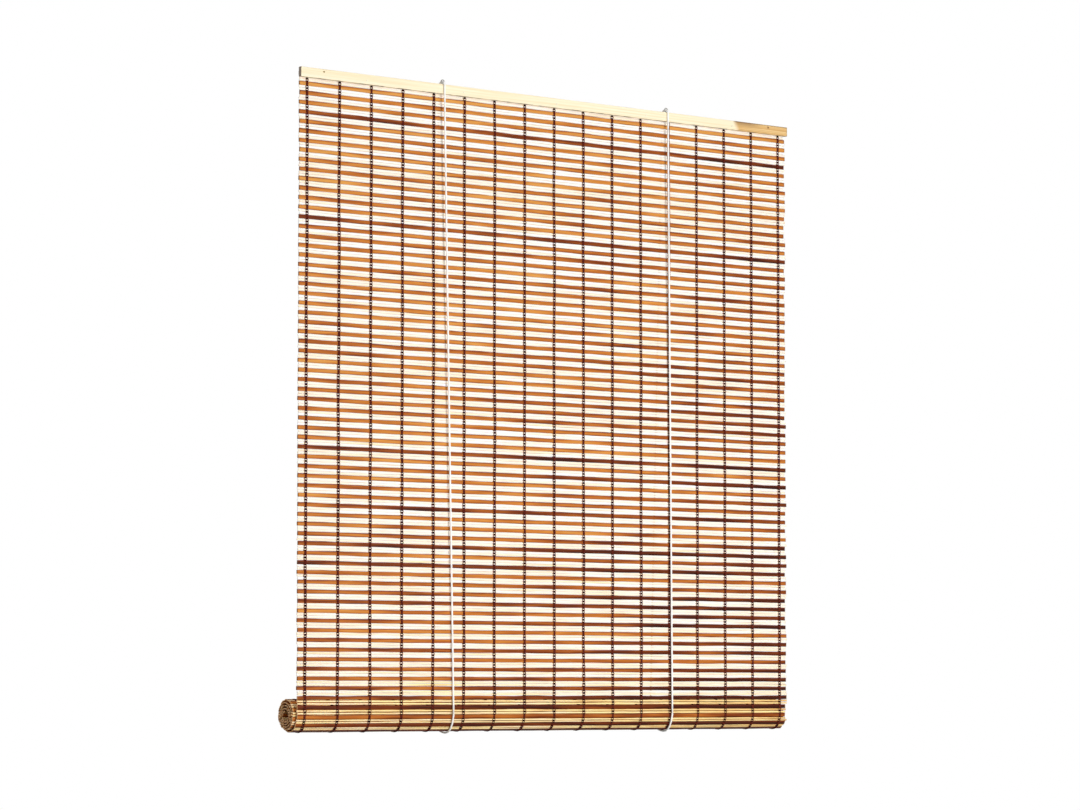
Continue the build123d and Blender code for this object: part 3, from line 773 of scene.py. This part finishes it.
# a key light from the front, and weaker ones from the left, low in front of the roll and from behind
lampSettings = {"key": {"power": 74, "size": 0.6, "place": (0.05, -3.5, -0.7), "aim": (0, 0, -0.5)},
                "fill": {"power": 6, "size": 1.6, "place": (-2.6, -2.4, 0.2), "aim": (0, 0, -0.5)},
                "low": {"power": 18, "size": 0.5, "place": (0.5, -2.6, -1.12), "aim": (0, 0, -1.1)},
                "back": {"power": 40, "size": 1.6, "place": (-0.9, 3.2, 0.6), "aim": (0, 0, -0.5)}}
for lampName, setting in lampSettings.items():
    lamp = bpy.data.lights.new(lampName, "AREA")
    lamp.energy, lamp.size = setting["power"], setting["size"]
    holder = bpy.data.objects.new(lampName, lamp)
    holder.location = setting["place"]
    toward = np.array(setting["aim"]) - np.array(setting["place"])
    tilt = math.atan2(math.hypot(toward[0], toward[1]), -toward[2])
    holder.rotation_euler = (tilt, 0, math.atan2(toward[1], toward[0]) - math.pi / 2)
    bpy.context.scene.collection.objects.link(holder)


# 1 for what the camera sees, itself or in metal and glass, and 0 for the light that falls on things
def seenRays(add):
    rays = add("ShaderNodeLightPath")
    seen = add("ShaderNodeMath", {0: rays.outputs["Is Camera Ray"], 1: rays.outputs["Is Glossy Ray"]},
               operation="MAXIMUM")
    seenAll = add("ShaderNodeMath", {0: seen.outputs[0], 1: rays.outputs["Is Transmission Ray"]},
                  operation="MAXIMUM")
    return seenAll.outputs[0]


# a studio in metres: white all round to the camera, a share of it as soft light, and a round floor
stageSettings = {"ambient": 0.45, "floorLevel": -1.42, "floorReach": 4.5, "floorCorners": 96,
                 "fadeStart": 2.0, "fadeEnd": 4.4, "nearWhite": 0.92, "paint": "#8E8B86"}
world = bpy.data.worlds.new("studio")
bpy.context.scene.world = world
world.use_nodes = True
world.node_tree.nodes.clear()
add = functools.partial(addNode, world.node_tree)
glow = add("ShaderNodeMapRange", {"Value": seenRays(add), "To Min": stageSettings["ambient"], "To Max": 1.0})
sky = add("ShaderNodeBackground", {"Color": (1, 1, 1, 1), "Strength": glow.outputs[0]})
add("ShaderNodeOutputWorld", {"Surface": sky.outputs[0]})

# floor paint, matt: mostly its own white to the camera and all white at its rim, with a share of true
# shading for the blind's shadow
floorMaterial, add = newMaterial("painted studio floor")
place = add("ShaderNodeTexCoord")
outward = add("ShaderNodeVectorMath", {0: place.outputs["Object"]}, operation="LENGTH")
whiteness = add("ShaderNodeMapRange", {
    "Value": outward.outputs["Value"], "From Min": stageSettings["fadeStart"],
    "From Max": stageSettings["fadeEnd"], "To Min": stageSettings["nearWhite"], "To Max": 1.0})
share = add("ShaderNodeMapRange", {"Value": seenRays(add), "To Max": whiteness.outputs[0]})
paint = add("ShaderNodeBsdfDiffuse", {"Color": linearColour(stageSettings["paint"])})
white = add("ShaderNodeEmission", {"Color": (1, 1, 1, 1), "Strength": 1.0})
mixed = add("ShaderNodeMixShader", {0: share.outputs[0], 1: paint.outputs[0], 2: white.outputs[0]})
add("ShaderNodeOutputMaterial", {"Surface": mixed.outputs[0]})
floorCorners = stageSettings["floorCorners"]
around = 2 * np.pi * np.arange(floorCorners) / floorCorners
rim = stageSettings["floorReach"] * np.stack([np.cos(around), np.sin(around)], axis=-1)
floorMesh = bpy.data.meshes.new("floor")
floorMesh.from_pydata(np.c_[rim, np.full(floorCorners, stageSettings["floorLevel"])].tolist(), [],
                      [list(range(floorCorners))])
floorMesh.materials.append(floorMaterial)
floor = bpy.data.objects.new("floor", floorMesh)
bpy.context.scene.collection.objects.link(floor)
bpy.context.scene.view_settings.view_transform = "Standard"
print("light and floor set")
print("triangles added:", sum(triangleCounts.values()), "most in one piece:", max(triangleCounts.values()))
